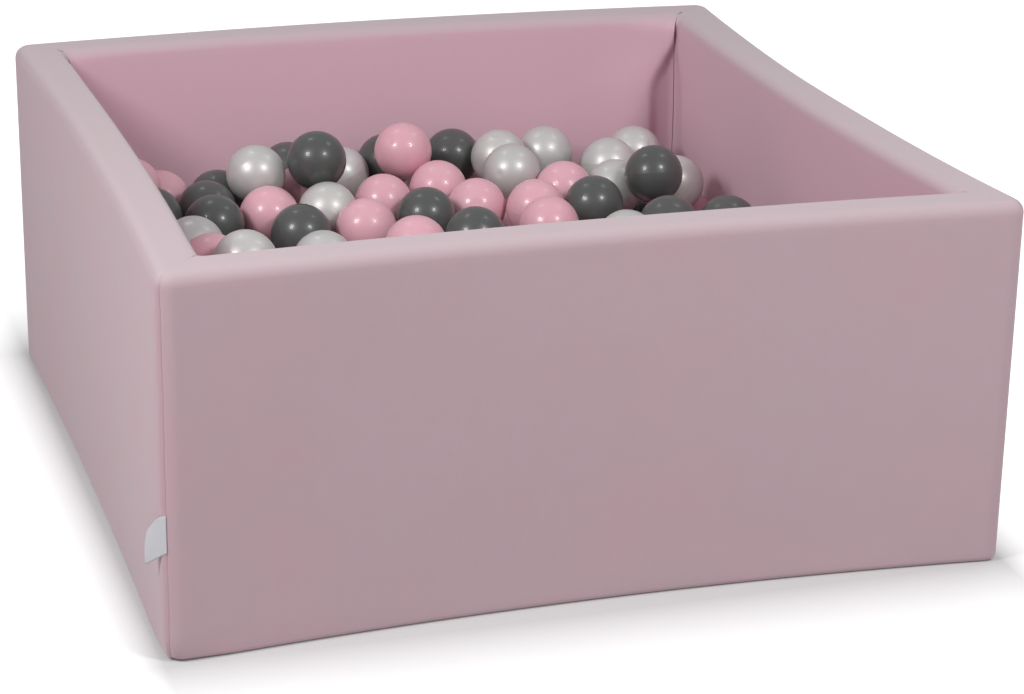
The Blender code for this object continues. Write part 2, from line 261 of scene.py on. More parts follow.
# Jersey: fine single knit, matt, with a little fuzz
jersey = {
    "greyer": (0.525, 0.395, 0.432),
    "pinker": (0.560, 0.370, 0.420),
    "paintedRimSheen": (0.530, 0.425, 0.455),       # paler over the rim: painted sheen where the rim's top catches the light
    "paintedBounceLight": (0.680, 0.440, 0.520),    # inside the pit, lighter and pinker: painted bounce light from the pink walls
    "upTheFace": 0.432,   # lengths of cloth from the lap under the foot, up to the rim and over it
    "overTheRim": 0.490,
    "changes": (-0.012, 0.008),            # from before these lengths to past them
    "wale": 0.0013,       # width of one column of stitches
    "course": 0.0010,
    "stitchLean": 1.8,
    "waleShare": 0.6,
    "courseShare": 0.4,
    "fuzzScale": 900,
    "bumpStrength": 0.16,
    "bumpDistance": 0.00025,
    "dyeScale": 7,
    "dyeShares": (-0.1, 0.8),
    "fibreScale": 420,
    "fibreShares": (-0.15, 0.15),
    "roughness": 0.90,
    "specular": 0.05,
    "sheen": 0.33,
    "sheenRoughness": 0.50,
    "sheenTint": (0.93, 0.95, 0.96, 1),
    "cornerGlow": 0.9,    # along the near corner the stretched cloth shows more of its pink
    "cornerReach": 0.012,
}


def knitHeight(tree, axes):
    wale = wave(tree, axes["X"], jersey["wale"])
    lean = maths(tree, "MULTIPLY", maths(tree, "ABSOLUTE", wale), jersey["stitchLean"])
    course = wave(tree, axes["Y"], jersey["course"], lean)
    columns = maths(tree, "MULTIPLY", wale, jersey["waleShare"])
    rows = maths(tree, "MULTIPLY", course, jersey["courseShare"])
    return maths(tree, "ADD", maths(tree, "ADD", columns, rows), placeNoise(tree, jersey["fuzzScale"], 2))


def pinkShare(tree):
    dye = spread(tree, placeNoise(tree, jersey["dyeScale"], 4, 0.6), *jersey["dyeShares"])
    fibres = spread(tree, placeNoise(tree, jersey["fibreScale"], 3, 0.7), *jersey["fibreShares"])
    level = addNode(tree, "VectorMath", {0: objectPlace(tree), 1: (1, 1, 0)}, operation="MULTIPLY").outputs[0]
    corner = {0: level, 1: (-pit["half"], -pit["half"], 0)}
    fromCorner = addNode(tree, "VectorMath", corner, operation="DISTANCE").outputs["Value"]
    glow = maths(tree, "EXPONENT", maths(tree, "MULTIPLY", fromCorner, -1 / jersey["cornerReach"]))
    dyed = maths(tree, "ADD", dye, fibres)
    return maths(tree, "ADD", dyed, maths(tree, "MULTIPLY", glow, jersey["cornerGlow"]))


def makeJersey():
    material, tree, shader = newMaterial(
        "jersey", jersey["greyer"], Roughness=jersey["roughness"], Specular_IOR_Level=jersey["specular"],
        Sheen_Weight=jersey["sheen"], Sheen_Roughness=jersey["sheenRoughness"], Sheen_Tint=jersey["sheenTint"])
    axes = axesOf(tree, clothPlace(tree))
    bump(tree, shader, knitHeight(tree, axes), jersey["bumpStrength"], jersey["bumpDistance"])
    color = blendColors(tree, pinkShare(tree), jersey["greyer"], jersey["pinker"])
    before, after = jersey["changes"]
    # over the rim the colour turns paler, a painted sheen; down inside the pit it turns lighter and pinker,
    # painted bounce light
    for length, past in ((jersey["upTheFace"], "paintedRimSheen"), (jersey["overTheRim"], "paintedBounceLight")):
        limits = {"Value": axes["Y"], "From Min": length + before, "From Max": length + after}
        reached = addNode(tree, "MapRange", limits, interpolation_type="SMOOTHSTEP").outputs[0]
        color = blendColors(tree, reached, color, jersey[past])
    tree.links.new(color, shader.inputs["Base Color"])
    return material


# Foam: cut from a block, with open cells about a millimetre across
foam = {
    "pale": (0.80, 0.78, 0.72),
    # darker, in the hollow of each cell: painted shade in the pores
    "poreShade": (0.62, 0.59, 0.52),
    "cellsPerMetre": 850,
    "roughness": 0.95,
    "specular": 0.1,
    "bumpStrength": 0.5,
    "bumpDistance": 0.0006,
}


def makeFoam():
    material, tree, shader = newMaterial(
        "foam", foam["pale"], Roughness=foam["roughness"], Specular_IOR_Level=foam["specular"])
    pattern = {"Vector": objectPlace(tree), "Scale": foam["cellsPerMetre"]}
    cells = addNode(tree, "TexVoronoi", pattern).outputs["Distance"]
    # the colour darkens into each cell's hollow, painted shade, and is pale on the ridges between
    tree.links.new(blendColors(tree, cells, foam["poreShade"], foam["pale"]), shader.inputs["Base Color"])
    bump(tree, shader, cells, foam["bumpStrength"], foam["bumpDistance"])
    return material


# Balls: blown polyethylene, glossy, with faint clouding and fine scuffs
ballFinish = {
    "pink": {
        "color": (0.74, 0.41, 0.48), "deep": (0.70, 0.37, 0.44),
        "rough": (0.32, 0.36), "metal": 0.0, "edgeShare": 0.0,
    },
    "grey": {
        "color": (0.086, 0.092, 0.089), "deep": (0.074, 0.078, 0.076),
        "rough": (0.32, 0.36), "metal": 0.0, "edgeShare": 0.0,
    },
    "pearl": {
        "color": (0.61, 0.60, 0.585), "deep": (0.53, 0.525, 0.53),
        "rough": (0.38, 0.42), "metal": 0.25, "edgeShare": 0.6,    # deeper towards its edge
    },
}
ballSkin = {
    "coat": 0.22,
    "coatRoughness": 0.06,
    "specular": 0.4,
    "cloudScale": 14,
    "cloudShares": (0.0, 0.2),
    "edgeBlend": 0.35,
    "roughScale": 40,
    "scuffScale": 140,
    "scuffStretch": (1, 1, 0.15),
    "bumpStrength": 0.01,
    "bumpDistance": 0.00010,
}


def makeBallFinish(finish):
    look = ballFinish[finish]
    material, tree, shader = newMaterial(
        "ball_" + finish, look["color"], Metallic=look["metal"], Coat_Weight=ballSkin["coat"],
        Coat_Roughness=ballSkin["coatRoughness"], Specular_IOR_Level=ballSkin["specular"])
    cloud = spread(tree, placeNoise(tree, ballSkin["cloudScale"], 1), *ballSkin["cloudShares"])
    share = maths(tree, "ADD", cloud, addNode(tree, "Attribute", attribute_name="tint").outputs["Fac"])
    if look["edgeShare"]:
        facing = addNode(tree, "LayerWeight", {"Blend": ballSkin["edgeBlend"]}).outputs["Facing"]
        share = maths(tree, "ADD", share, maths(tree, "MULTIPLY", facing, look["edgeShare"]))
    tree.links.new(blendColors(tree, share, look["color"], look["deep"]), shader.inputs["Base Color"])
    rough = spread(tree, placeNoise(tree, ballSkin["roughScale"], 2), *look["rough"])
    tree.links.new(rough, shader.inputs["Roughness"])
    scuffs = placeNoise(tree, ballSkin["scuffScale"], 3, 0.6, ballSkin["scuffStretch"])
    bump(tree, shader, scuffs, ballSkin["bumpStrength"], ballSkin["bumpDistance"])
    return material


# Zip: woven tape, nylon coil, and a satin metal slider
zipLook = {
    "tape": (0.56, 0.38, 0.425),
    "tapeDark": (0.48, 0.315, 0.36),
    "tapeRoughness": 0.8,
    "tapeSheen": 0.2,
    "rib": 0.0011,
    "ribShare": 0.3,
    "middleShare": 0.4,
    "ribStrength": 0.4,
    "ribDistance": 0.0002,
    "metal": (0.56, 0.56, 0.57),
    "metalWorn": (0.40, 0.40, 0.41),
    "metalRough": (0.24, 0.40),
    "wearScale": 900,
    "wearStretch": (0.2, 1, 1),
    "wearShares": (0.0, 0.6),
    "wearStrength": 0.1,
    "wearDistance": 0.0001,
}


def makeZipTape():
    material, tree, shader = newMaterial(
        "zip_tape", zipLook["tape"], Roughness=zipLook["tapeRoughness"], Sheen_Weight=zipLook["tapeSheen"])
    axes = axesOf(tree, objectPlace(tree))
    rib = wave(tree, axes["X"], zipLook["rib"], wave(tree, axes["Z"], zipLook["rib"]))
    share = maths(tree, "ADD", maths(tree, "MULTIPLY", rib, zipLook["ribShare"]), zipLook["middleShare"])
    tree.links.new(blendColors(tree, share, zipLook["tape"], zipLook["tapeDark"]), shader.inputs["Base Color"])
    bump(tree, shader, rib, zipLook["ribStrength"], zipLook["ribDistance"])
    return material


def makeZipMetal():
    material, tree, shader = newMaterial("zip_metal", zipLook["metal"], Metallic=1.0)
    wear = placeNoise(tree, zipLook["wearScale"], 4, 0.7, zipLook["wearStretch"])
    tree.links.new(spread(tree, wear, *zipLook["metalRough"]), shader.inputs["Roughness"])
    worn = spread(tree, wear, *zipLook["wearShares"])
    tree.links.new(blendColors(tree, worn, zipLook["metal"], zipLook["metalWorn"]), shader.inputs["Base Color"])
    bump(tree, shader, wear, zipLook["wearStrength"], zipLook["wearDistance"])
    return material


labelLook = {
    "satin": (0.60, 0.60, 0.635),
    "shade": (0.50, 0.50, 0.55),
    "roughness": 0.55,
    "sheen": 0.25,
    "specular": 0.4,
    "weft": 0.0007,
    "warpsPerWeft": 1.7,
    "warpShare": 0.4,
    "weaveShare": 0.15,
    "middleShare": 0.25,
    "bumpStrength": 0.25,
    "bumpDistance": 0.00012,
}


def makeLabelSatin():
    material, tree, shader = newMaterial(
        "label", labelLook["satin"], Roughness=labelLook["roughness"], Sheen_Weight=labelLook["sheen"],
        Specular_IOR_Level=labelLook["specular"])
    axes = axesOf(tree, clothPlace(tree))
    weft = wave(tree, axes["Y"], labelLook["weft"])
    warp = wave(tree, axes["X"], labelLook["weft"] / labelLook["warpsPerWeft"])
    weave = maths(tree, "ADD", weft, maths(tree, "MULTIPLY", warp, labelLook["warpShare"]))
    share = maths(tree, "ADD", maths(tree, "MULTIPLY", weave, labelLook["weaveShare"]), labelLook["middleShare"])
    tree.links.new(blendColors(tree, share, labelLook["satin"], labelLook["shade"]), shader.inputs["Base Color"])
    bump(tree, shader, weave, labelLook["bumpStrength"], labelLook["bumpDistance"])
    return material


materials = {
    "jersey": makeJersey(),
    "foam": makeFoam(),
    "zip_tape": makeZipTape(),
    "zip_metal": makeZipMetal(),
    "label": makeLabelSatin(),
}
for finishName in ballFinish:
    materials[finishName] = makeBallFinish(finishName)
print("materials made")

foamCut = {
    "depth": 0.0032,          # from the cover's face to the foam
    "thickness": 0.048,
    "low": 0.0018,
    "edge": 0.010,
    "edgeSegments": 4,
    "edgeDegrees": 40,        # edges sharper than this are rounded
    "ease": 0.0016,
    "wallCuts": (18, 2, 8),
    "floorCuts": (14, 14, 1),
}


def cutBox(cuts):
    # a cube from -1 to 1, cut across each of its ways
    bm = bmesh.new()
    bmesh.ops.create_cube(bm, size=2)
    for axis, count in enumerate(cuts):
        edges = [e for e in bm.edges if abs((e.verts[1].co - e.verts[0].co)[axis]) > 1e-6]
        bmesh.ops.subdivide_edges(bm, edges=edges, cuts=count, use_grid_fill=True)
    return bm


def finishFoam(bm, name, node):
    bm.normal_update()
    bevelEdges(bm, sharpEdges(bm, foamCut["edgeDegrees"]), foamCut["edge"], foamCut["edgeSegments"])
    piece = newPiece(name, bm, materials["foam"], replaces=[node])
    return piece


def makeFoamWall(side):
    bm = cutBox(foamCut["wallCuts"])
    low, high = foamCut["low"], pit["height"] - foamCut["depth"]
    for vert in bm.verts:
        depth = foamCut["depth"] + foamCut["thickness"] * (vert.co.y + 1) / 2
        height = low + (high - low) * (vert.co.z + 1) / 2
        vert.co = wallPoint(side, vert.co.x * (wallReach(depth) - foamCut["ease"]), depth, height)
    return finishFoam(bm, f"foam_block_{side}", f"foam_wall_{side}")


def makeFoamFloor():
    low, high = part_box("foam_floor")
    half = (high.x - low.x) / 2
    bm = cutBox(foamCut["floorCuts"])
    for vert in bm.verts:
        height = low.z + (high.z - low.z) * (vert.co.z + 1) / 2
        vert.co = bowed((vert.co.x * half, vert.co.y * half, 0)) + Vector((0, 0, height))
    return finishFoam(bm, "foam_floor_block", "foam_floor")


foamBlocks = {side: makeFoamWall(side) for side in sideTurns}
foamFloorBlock = makeFoamFloor()
print("foam cut")

cover = {
    "thickness": 0.0015,
    "columns": 150,
    "closeToSeam": 1.6,        # how much closer the columns lie near a corner seam
    "grooveDepth": 0.0011,
    "grooveWidth": 0.0022,
    "turnedIn": 0.0040,
    "innerSinkShare": 0.10,    # the inner corners are soft, and their seams lie nearly flat
    "flatBelowTop": (0.004, 0.0005),    # the seam goes flat between these, below the top
    "innerEdge": (0.036, 0.046),        # and sinks in again between these depths
    "innerEdgeShare": 0.9,
    "allowance": 0.0085,       # the sewn edges inside, which lie to one side of each corner seam
    "allowanceRise": 0.0008,
    "allowanceWaver": 0.14,
    "allowanceStart": (0.0006, 0.0022),
    "allowanceEnd": 0.0018,
    "waversPerMetre": 60,
    "seamWaver": 0.0011,
    "seamWaversPerMetre": (14, 45),
    "seamReach": 0.05,         # how far from a seam it pulls at the cloth
    "innerRound": 0.012,
    "innerFrom": 0.004,        # the cloth counts as inside from this much short of the inner face
    "unevenness": 0.0012,
    "unevenPerMetre": 5,
    "evenFoot": 0.03,
    "rimSoftShare": 0.6,
    "flatSteps": 60,
}
# Loose cloth that bridges the inner corners: how far it stands off the foam
bridges = (
    {"rise": 0.0022, "spread": 0.030, "fan": 0.020},    # front right
    {"rise": 0.0080, "spread": 0.050, "fan": 0.036},    # back right
    {"rise": 0.0024, "spread": 0.035, "fan": 0.024},    # back left
    {"rise": 0.0020, "spread": 0.030, "fan": 0.018},    # front left
)
bridging = {
    "ridge": 0.004,             # from the seam to the ridge of the fold, at the top
    "fansOut": (0.020, 0.100),  # below the top
    "seamSide": 0.010,
    "startsAt": (-0.002, 0.02),
    "sideShare": 0.35,          # of the fold that the left and right panels take
}


def sectionLegs():
    # where the cloth runs, from under the foam to the inner floor, as (rows, from, to, centre of the round)
    foot, rim, top, thick = pit["footRadius"], pit["rimRadius"], pit["height"], pit["wallThickness"]
    inside = pit["floorTop"] - cover["thickness"]
    return [
        (3, (pit["baseLap"], 0.0), (foot, 0.0), None),
        (6, (foot, 0.0), (0.0, foot), (foot, foot)),
        (58, (0.0, foot), (0.0, top - rim), None),
        (7, (0.0, top - rim), (rim, top), (rim, top - rim)),
        (6, (rim, top), (thick - rim, top), None),
        (7, (thick - rim, top), (thick, top - rim), (thick - rim, top - rim)),
        (52, (thick, top - rim), (thick, inside), None),
    ]


def legPlace(start, end, centre, share):
    if centre is None:
        return tuple(a + (b - a) * share for a, b in zip(start, end))
    first = math.atan2(start[1] - centre[1], start[0] - centre[0])
    last = math.atan2(end[1] - centre[1], end[0] - centre[0])
    turn = (last - first + math.pi) % math.tau - math.pi
    radius = math.hypot(start[0] - centre[0], start[1] - centre[1])
    angle = first + turn * share
    return centre[0] + radius * math.cos(angle), centre[1] + radius * math.sin(angle)


def coverSection():
    # one place for each row: depth, height, and the cloth's length up to it
    places = [(pit["baseLap"], 0.0, 0.0)]
    for rows, start, end, centre in sectionLegs():
        for row in range(1, rows + 1):
            depth, height = legPlace(start, end, centre, row / rows)
            step = math.hypot(depth - places[-1][0], height - places[-1][1])
            places.append((depth, height, places[-1][2] + step))
    return places


def seamShows(depth, height):
    # the seam sinks in on the faces and at the inner corner, and lies flat across the rim
    start, end = cover["flatBelowTop"]
    rim = smoothStep(pit["height"] - start, pit["height"] - end, height)
    inner = smoothStep(*cover["innerEdge"], depth)
    return 1 - rim * (1 - cover["innerEdgeShare"] * inner)


def seamSway(corner, height):
    broad, fine = cover["seamWaversPerMetre"]
    sway = noise.noise(Vector((corner * 5.3, 0.4, height * broad)))
    return cover["seamWaver"] * (sway + 0.5 * noise.noise(Vector((corner * 3.1, 7.7, height * fine))))


def seamSink(column, fromSeam, corner, height, inside):
    sink = cover["grooveDepth"] * math.exp(-(fromSeam / cover["grooveWidth"]) ** 2)
    if abs(column) > 0.9999:
        sink += cover["turnedIn"]
    if column > 0:
        waver = noise.noise(Vector((corner, 2.2, height * cover["waversPerMetre"])))
        edge = cover["allowance"] * (1 + cover["allowanceWaver"] * waver)
        lies = smoothStep(*cover["allowanceStart"], fromSeam)
        ends = smoothStep(edge - cover["allowanceEnd"], edge, fromSeam)
        sink -= cover["allowanceRise"] * lies * (1 - ends)
    return sink * (1 - (1 - cover["innerSinkShare"]) * inside)


def looseCloth(side, corner, fromSeam, height):
    bridge = bridges[corner]
    down = pit["height"] - height
    aside = fromSeam - (bridging["ridge"] + bridge["fan"] * smoothStep(*bridging["fansOut"], down))
    width = bridge["spread"] if aside > 0 else bridging["seamSide"]
    share = 1 if sideTurns[side] % 2 == 0 else bridging["sideShare"]
    fold = bridge["rise"] * math.exp(-(aside / width) ** 2)
    return fold * smoothStep(*bridging["startsAt"], down) * share


def unevenCloth(side, travel, length, fromSeam, height):
    often = cover["unevenPerMetre"]
    soft = noise.noise(Vector((travel * often, length * often, sideTurns[side] * 11.0)))
    held = smoothStep(0.0, cover["seamReach"], fromSeam) * smoothStep(0.0, cover["evenFoot"], height)
    return cover["unevenness"] * soft * held


def coverPlace(side, column, depth, height, length):
    # column is -1 to 1 from seam to seam
    reach = wallReach(depth)
    fromSeam = reach * (1 - abs(column)) ** cover["closeToSeam"]
    travel = math.copysign(reach - fromSeam, column)
    ahead = column > 0
    corner = sideTurns[side] if ahead else (sideTurns[side] - 1) % 4
    inside = smoothStep(pit["cornerRadius"], pit["wallThickness"] - cover["innerFrom"], depth)
    sink = seamSink(column, fromSeam, corner, height, inside) * seamShows(depth, height)
    soft = unevenCloth(side, travel, length, fromSeam, height)
    sway = seamSway(corner, height) * smoothStep(cover["seamReach"], 0.0, fromSeam) * (1 if ahead else -1)
    travel += sway * (1 if travel > 0 else -1)
    if inside > 0.5:
        depth += looseCloth(side, corner, fromSeam, height)
    innerRound = cover["innerRound"] * inside
    onRim = smoothStep(pit["height"] - pit["rimRadius"], pit["height"], height) * (1 - abs(2 * inside - 1))
    if onRim > 0.3:
        lift = Vector((0, 0, soft * cover["rimSoftShare"] - sink))
        return wallPoint(side, travel, depth, height, innerRound) + lift
    deeper = 1 if inside < 0.5 else -1       # inside the pit, sinking in means less depth
    return wallPoint(side, travel, depth + deeper * (sink - soft), height, innerRound)


def makeCoverPanel(side):
    section = coverSection()
    bm = newCloth(cover["columns"], len(section) - 1)
    flat = {}
    for vert in bm.verts:
        column = vert.co.x
        depth, height, length = section[round((vert.co.y + 1) / 2 * (len(section) - 1))]
        flat[vert] = (column * wallReach(depth), length)
        vert.co = coverPlace(side, column, depth, height, length)
    layCloth(bm, flat)
    piece = newPiece(f"jersey_{side}", bm, materials["jersey"], replaces=[f"cover_{side}_panel"])
    addModifier(piece, "SOLIDIFY", thickness=cover["thickness"], offset=-1, use_even_offset=False)


def makeFlatPanel(name, node):
    low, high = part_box(node)
    half = (high.x - low.x) / 2
    bm = newCloth(cover["flatSteps"], cover["flatSteps"])
    flat = {}
    for vert in bm.verts:
        x, y = vert.co.x * half, vert.co.y * half
        flat[vert] = (x, y)
        vert.co = bowed((x, y, 0)) + Vector((0, 0, high.z))
    layCloth(bm, flat)
    piece = newPiece(name, bm, materials["jersey"], replaces=[node])
    addModifier(piece, "SOLIDIFY", thickness=high.z - low.z, offset=-1)


for sideName in sideTurns:
    makeCoverPanel(sideName)
makeFlatPanel("jersey_floor", "cover_floor_panel")
makeFlatPanel("jersey_base", "cover_base_panel")
print("cover sewn")

ball = {
    "radius": 0.035,
    "reach": 0.0702,           # two balls touch
    "freeHalf": 0.3594,
    "segments": 48,
    "rings": 24,
    "bedSegments": 24,
    "bedRings": 12,
    "lowSubdivisions": 2,
    "mouldLine": 0.00003,
    "mouldWidth": 0.0006,
    "plugEdge": 0.0005,
    "plugSink": 0.0001,
    "tints": (-0.15, 0.35),
}
bed = {
    "level": 0.178,
    "pitch": 0.0725,
    "bankRise": 0.060,
    "bankShare": 0.22,
    "topShares": ((0.30, 0.41), (0.48, 0.41)),
    "fillPerRow": 8,
    "seed": 7,
}
# How balls that overlap are pushed apart
pushing = {
    "times": 120,
    "ballEase": 0.0001,
    "wallEase": 0.0004,
    "eachTime": 0.6,
    "pulledBack": 0.05,
    "pulledBackShare": 0.7,    # of the times; after that they are only pushed
    "looseGive": 1.0,
    "upperGive": 0.5,
    "seenGive": 1e-6,          # the balls that show stay where they are while those under them give way
    "underGive": 1.0,
}
rng = random.Random(bed["seed"])


def bedLevel(x, y):
    across, along = (x / ball["freeHalf"] + 1) / 2, (y / ball["freeHalf"] + 1) / 2
    return bed["level"] + bed["bankRise"] * max(0.0, 1 - across / bed["bankShare"]) * (1 - along)


def bedCentres():
    pitch, free = bed["pitch"], ball["freeHalf"]
    rows = int(2 * free / (pitch * math.sqrt(3) / 2)) + 1
    columns = int((2 * free - pitch / 2) / pitch) + 1
    columnStep, rowStep = (2 * free - pitch / 2) / (columns - 1), 2 * free / (rows - 1)
    places = []
    for row in range(rows):
        for column in range(columns):
            x = pitch / 2 * (row % 2) - free + column * columnStep
            y = row * rowStep - free
            places.append(bowed((x, y, bedLevel(x, y))))
    return places


def letDown(x, y, carriers):
    # the height at which a ball, lowered at x and y, first meets one that lies there
    heights = [pit["floorTop"] + ball["radius"]]
    for place in carriers:
        aside = math.hypot(place.x - x, place.y - y)
        if aside < ball["reach"]:
            heights.append(place.z + math.sqrt(ball["reach"] ** 2 - aside ** 2))
    return max(heights)


def upperCentres():
    places = bedCentres()
    for across, along in bed["topShares"]:
        x, y = (2 * across - 1) * ball["freeHalf"], (2 * along - 1) * ball["freeHalf"]
        spot = bowed((x, y, bed["level"] + ball["radius"]))
        places.append(Vector((spot.x, spot.y, letDown(spot.x, spot.y, places))))
    return places


def underCentres(upper):
    # one ball in each hollow under the upper layer, and a layer on the floor
    pitch, free = bed["pitch"], ball["freeHalf"]
    hollow = Vector((pitch / 2, pitch / (2 * math.sqrt(3)), -pitch * math.sqrt(2 / 3)))
    places = [place + hollow for place in upper[:-len(bed["topShares"])]]
    step = 2 * free / (bed["fillPerRow"] - 1)
    for row in range(bed["fillPerRow"]):
        for column in range(bed["fillPerRow"]):
            places.append(Vector((column * step - free, row * step - free, pit["floorTop"] + ball["radius"])))
    return places


def bowsAt(points, side):
    low, high = pit[side + "Bow"]
    foot = pit["straightFootHeight"]
    rise = np.clip((points[:, 2] - foot) / (pit["height"] - foot), 0, None)
    return low + (high - low) * rise


def keepInside(points):
    # the inner faces stand in by the wall's thickness and by its bow
    half = pit["half"]
    inner = half - pit["wallThickness"] - ball["radius"] - pushing["wallEase"]
    across, along = 1 - (points[:, 0] / half) ** 2, 1 - (points[:, 1] / half) ** 2
    left, right = along * bowsAt(points, "left"), along * bowsAt(points, "right")
    points[:, 0] = np.clip(points[:, 0], -inner + left, inner - right)
    front, back = across * bowsAt(points, "front"), across * bowsAt(points, "back")
    points[:, 1] = np.clip(points[:, 1], -inner + front, inner + back)
    points[:, 2] = np.maximum(points[:, 2], pit["floorTop"] + ball["radius"])
    return points


def pushApart(points, give):
    # a little at a time, each ball as far as it gives, and drawn back towards where it lay
    homes = points.copy()
    same = np.eye(len(points))
    touch = 2 * ball["radius"] + pushing["ballEase"]
    for push in range(pushing["times"]):
        gaps = points[:, None] - points[None]
        apart = np.sqrt((gaps ** 2).sum(2)) + same
        over = np.clip(touch - apart, 0, None) * (1 - same)
        part = give[:, None] / (give[:, None] + give[None])
        points = points + (gaps / apart[..., None] * (over * part)[..., None]).sum(1) * pushing["eachTime"]
        if push < pushing["times"] * pushing["pulledBackShare"]:
            points = points + (homes - points) * pushing["pulledBack"] * give[:, None]
        points = keepInside(points)
    return points


def settle(loose, upper, under):
    # first the balls that show, then those under them
    seen = np.array([list(place) for place in loose + upper])
    order = np.arange(len(seen) + len(under))
    seen = pushApart(seen, np.where(order[:len(seen)] < len(loose), pushing["looseGive"], pushing["upperGive"]))
    hidden = np.array([list(place) for place in under])
    gives = np.where(order < len(seen), pushing["seenGive"], pushing["underGive"])
    hidden = pushApart(np.vstack([seen, hidden]), gives)[len(seen):]
    places = [Vector(place) for place in np.vstack([seen, hidden])]
    return places[:len(loose)], places[len(loose):len(seen)], places[len(seen):]


def ballMesh(segments, rings, mouldLine):
    bm = bmesh.new()
    bmesh.ops.create_uvsphere(bm, u_segments=segments, v_segments=rings, radius=ball["radius"])
    if mouldLine:
        middle = [e for e in bm.edges if all(abs(v.co.z) < 1e-5 for v in e.verts)]
        made = bmesh.ops.bevel(
            bm, geom=middle, offset=ball["mouldWidth"], segments=2, affect="EDGES", profile=0.5, material=-1)
        for vert in made["verts"]:
            if abs(vert.co.z) < 1e-5:
                vert.co *= 1 + mouldLine / ball["radius"]
        # the small plug where the ball was blown
        pole = [f for f in bm.faces if len(f.verts) == 3 and f.calc_center_median().z > 0]
        bmesh.ops.inset_region(
            bm, faces=pole, thickness=ball["plugEdge"], depth=-ball["plugSink"], use_even_offset=True)
    return bm


def meshOf(bm, name):
    mesh = bpy.data.meshes.new(name)
    bm.to_mesh(mesh)
    bm.free()
    return mesh


def newBalls():
    bm = bmesh.new()
    return bm, bm.verts.layers.float.new("tint")


def addBall(bm, tintLayer, master, place):
    # a ball turned at random, with a tint of its own
    axis = Vector((rng.uniform(-1, 1), rng.uniform(-1, 1), rng.uniform(-1, 1)))
    turn = Matrix.Rotation(rng.uniform(0, math.tau), 4, axis.normalized())
    tint = rng.uniform(*ball["tints"])
    start = len(bm.verts)
    bm.from_mesh(master)
    bm.verts.ensure_lookup_table()
    new = bm.verts[start:]
    bmesh.ops.transform(bm, matrix=Matrix.Translation(place) @ turn, verts=new)
    for vert in new:
        vert[tintLayer] = tint


looseNodes = sorted(n for n in frame["nodes"] if n.startswith("ball_") and n != "ball_bed")
looseCentres = [(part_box(n)[0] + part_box(n)[1]) / 2 for n in looseNodes]
bedUpper = upperCentres()
looseSettled, upperSettled, underSettled = settle(looseCentres, bedUpper, underCentres(bedUpper))
furthest = max((a - b).length for a, b in zip(looseSettled, looseCentres))
print("balls settled; furthest from its solid", round(furthest * 1000, 1), "mm")

looseMaster = meshOf(ballMesh(ball["segments"], ball["rings"], ball["mouldLine"]), "ball master")
for node, place in zip(looseNodes, looseSettled):
    finishName = node.rsplit("_", 1)[1]
    looseBall, tintLayer = newBalls()
    addBall(looseBall, tintLayer, looseMaster, place)
    newPiece(
        "play_" + node, looseBall, materials[finishName],
        body=frame["nodes"][node]["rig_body"], replaces=[node])

bedMaster = meshOf(ballMesh(ball["bedSegments"], ball["bedRings"], 0), "bed ball master")
lowBall = bmesh.new()
bmesh.ops.create_icosphere(lowBall, subdivisions=ball["lowSubdivisions"], radius=ball["radius"])
lowMaster = meshOf(lowBall, "low ball master")
bedBalls = {finishName: newBalls() for finishName in ballFinish}
for index, place in enumerate(upperSettled + underSettled):
    balls, tintLayer = bedBalls[rng.choice(list(ballFinish))]
    addBall(balls, tintLayer, bedMaster if index < len(upperSettled) else lowMaster, place)
for finishName, (balls, tintLayer) in bedBalls.items():
    newPiece(f"bed_balls_{finishName}", balls, materials[finishName], replaces=["ball_bed"])
for master in (looseMaster, bedMaster, lowMaster):
    bpy.data.meshes.remove(master)
print("balls poured:", len(looseSettled + upperSettled + underSettled))

zipper = {
    "tapeThickness": 0.0006,
    "tapeSteps": (160, 12),
    "tapeOff": 0.0006,           # from the solid's inner face to the middle of the tape
    "selvedge": 0.0003,
    "selvedgeShares": (0.86, 1.0),
    "ripple": 0.00025,
    "ripplesPerMetre": (30, 60),
    "pitch": 0.0016,
    "lean": 0.16,
    "tooth": (0.0006, 0.0016, 0.0036),
    "toothRow": 0.0011,
    "edge": 0.0002,
    "metalDegrees": 30,
    "stitch": 0.0030,
    "stitchGap": 0.0016,
    "stitchRow": 0.0088,
    "stitchOff": 0.0002,
    "thread": 0.0005,
    "threadEdge": 0.00014,
}


def makeTape():
    low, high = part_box("zip_tape")
    bm = bmesh.new()
    across, along = zipper["tapeSteps"]
    bmesh.ops.create_grid(bm, x_segments=across, y_segments=along, size=1)
    middle, width = (low + high) / 2, high.z - low.z
    often, oftenUp = zipper["ripplesPerMetre"]
    for vert in bm.verts:
        x, up = vert.co.x * (high.x - low.x) / 2, -vert.co.y * width / 2
        off = zipper["tapeOff"] + zipper["selvedge"] * smoothStep(*zipper["selvedgeShares"], abs(vert.co.y))
        off += zipper["ripple"] * noise.noise(Vector((x * often, up * oftenUp, 5)))
        vert.co = Vector((x + middle.x, low.y + off, middle.z + up))
    piece = newPiece("zip_woven_tape", bm, materials["zip_tape"], replaces=["zip_tape"])
    addModifier(piece, "SOLIDIFY", thickness=zipper["tapeThickness"], offset=0)


def makeCoil():
    low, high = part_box("zip_coil")
    middle = (low + high) / 2
    bm = bmesh.new()
    for index in range(int((high.x - low.x) / zipper["pitch"])):
        for half in (-1, 1):
            x = low.x + (index + 0.5 + half * 0.25) * zipper["pitch"]
            place = Matrix.Translation((x, middle.y, middle.z + half * zipper["toothRow"]))
            turn = Matrix.Rotation(half * zipper["lean"], 4, "Y")
            bmesh.ops.create_cube(bm, size=1, matrix=place @ turn @ Matrix.Diagonal((*zipper["tooth"], 1)))
    bevelEdges(bm, bm.edges[:], zipper["edge"], 1)
    newPiece("zip_nylon_coil", bm, materials["zip_tape"], replaces=["zip_coil"])


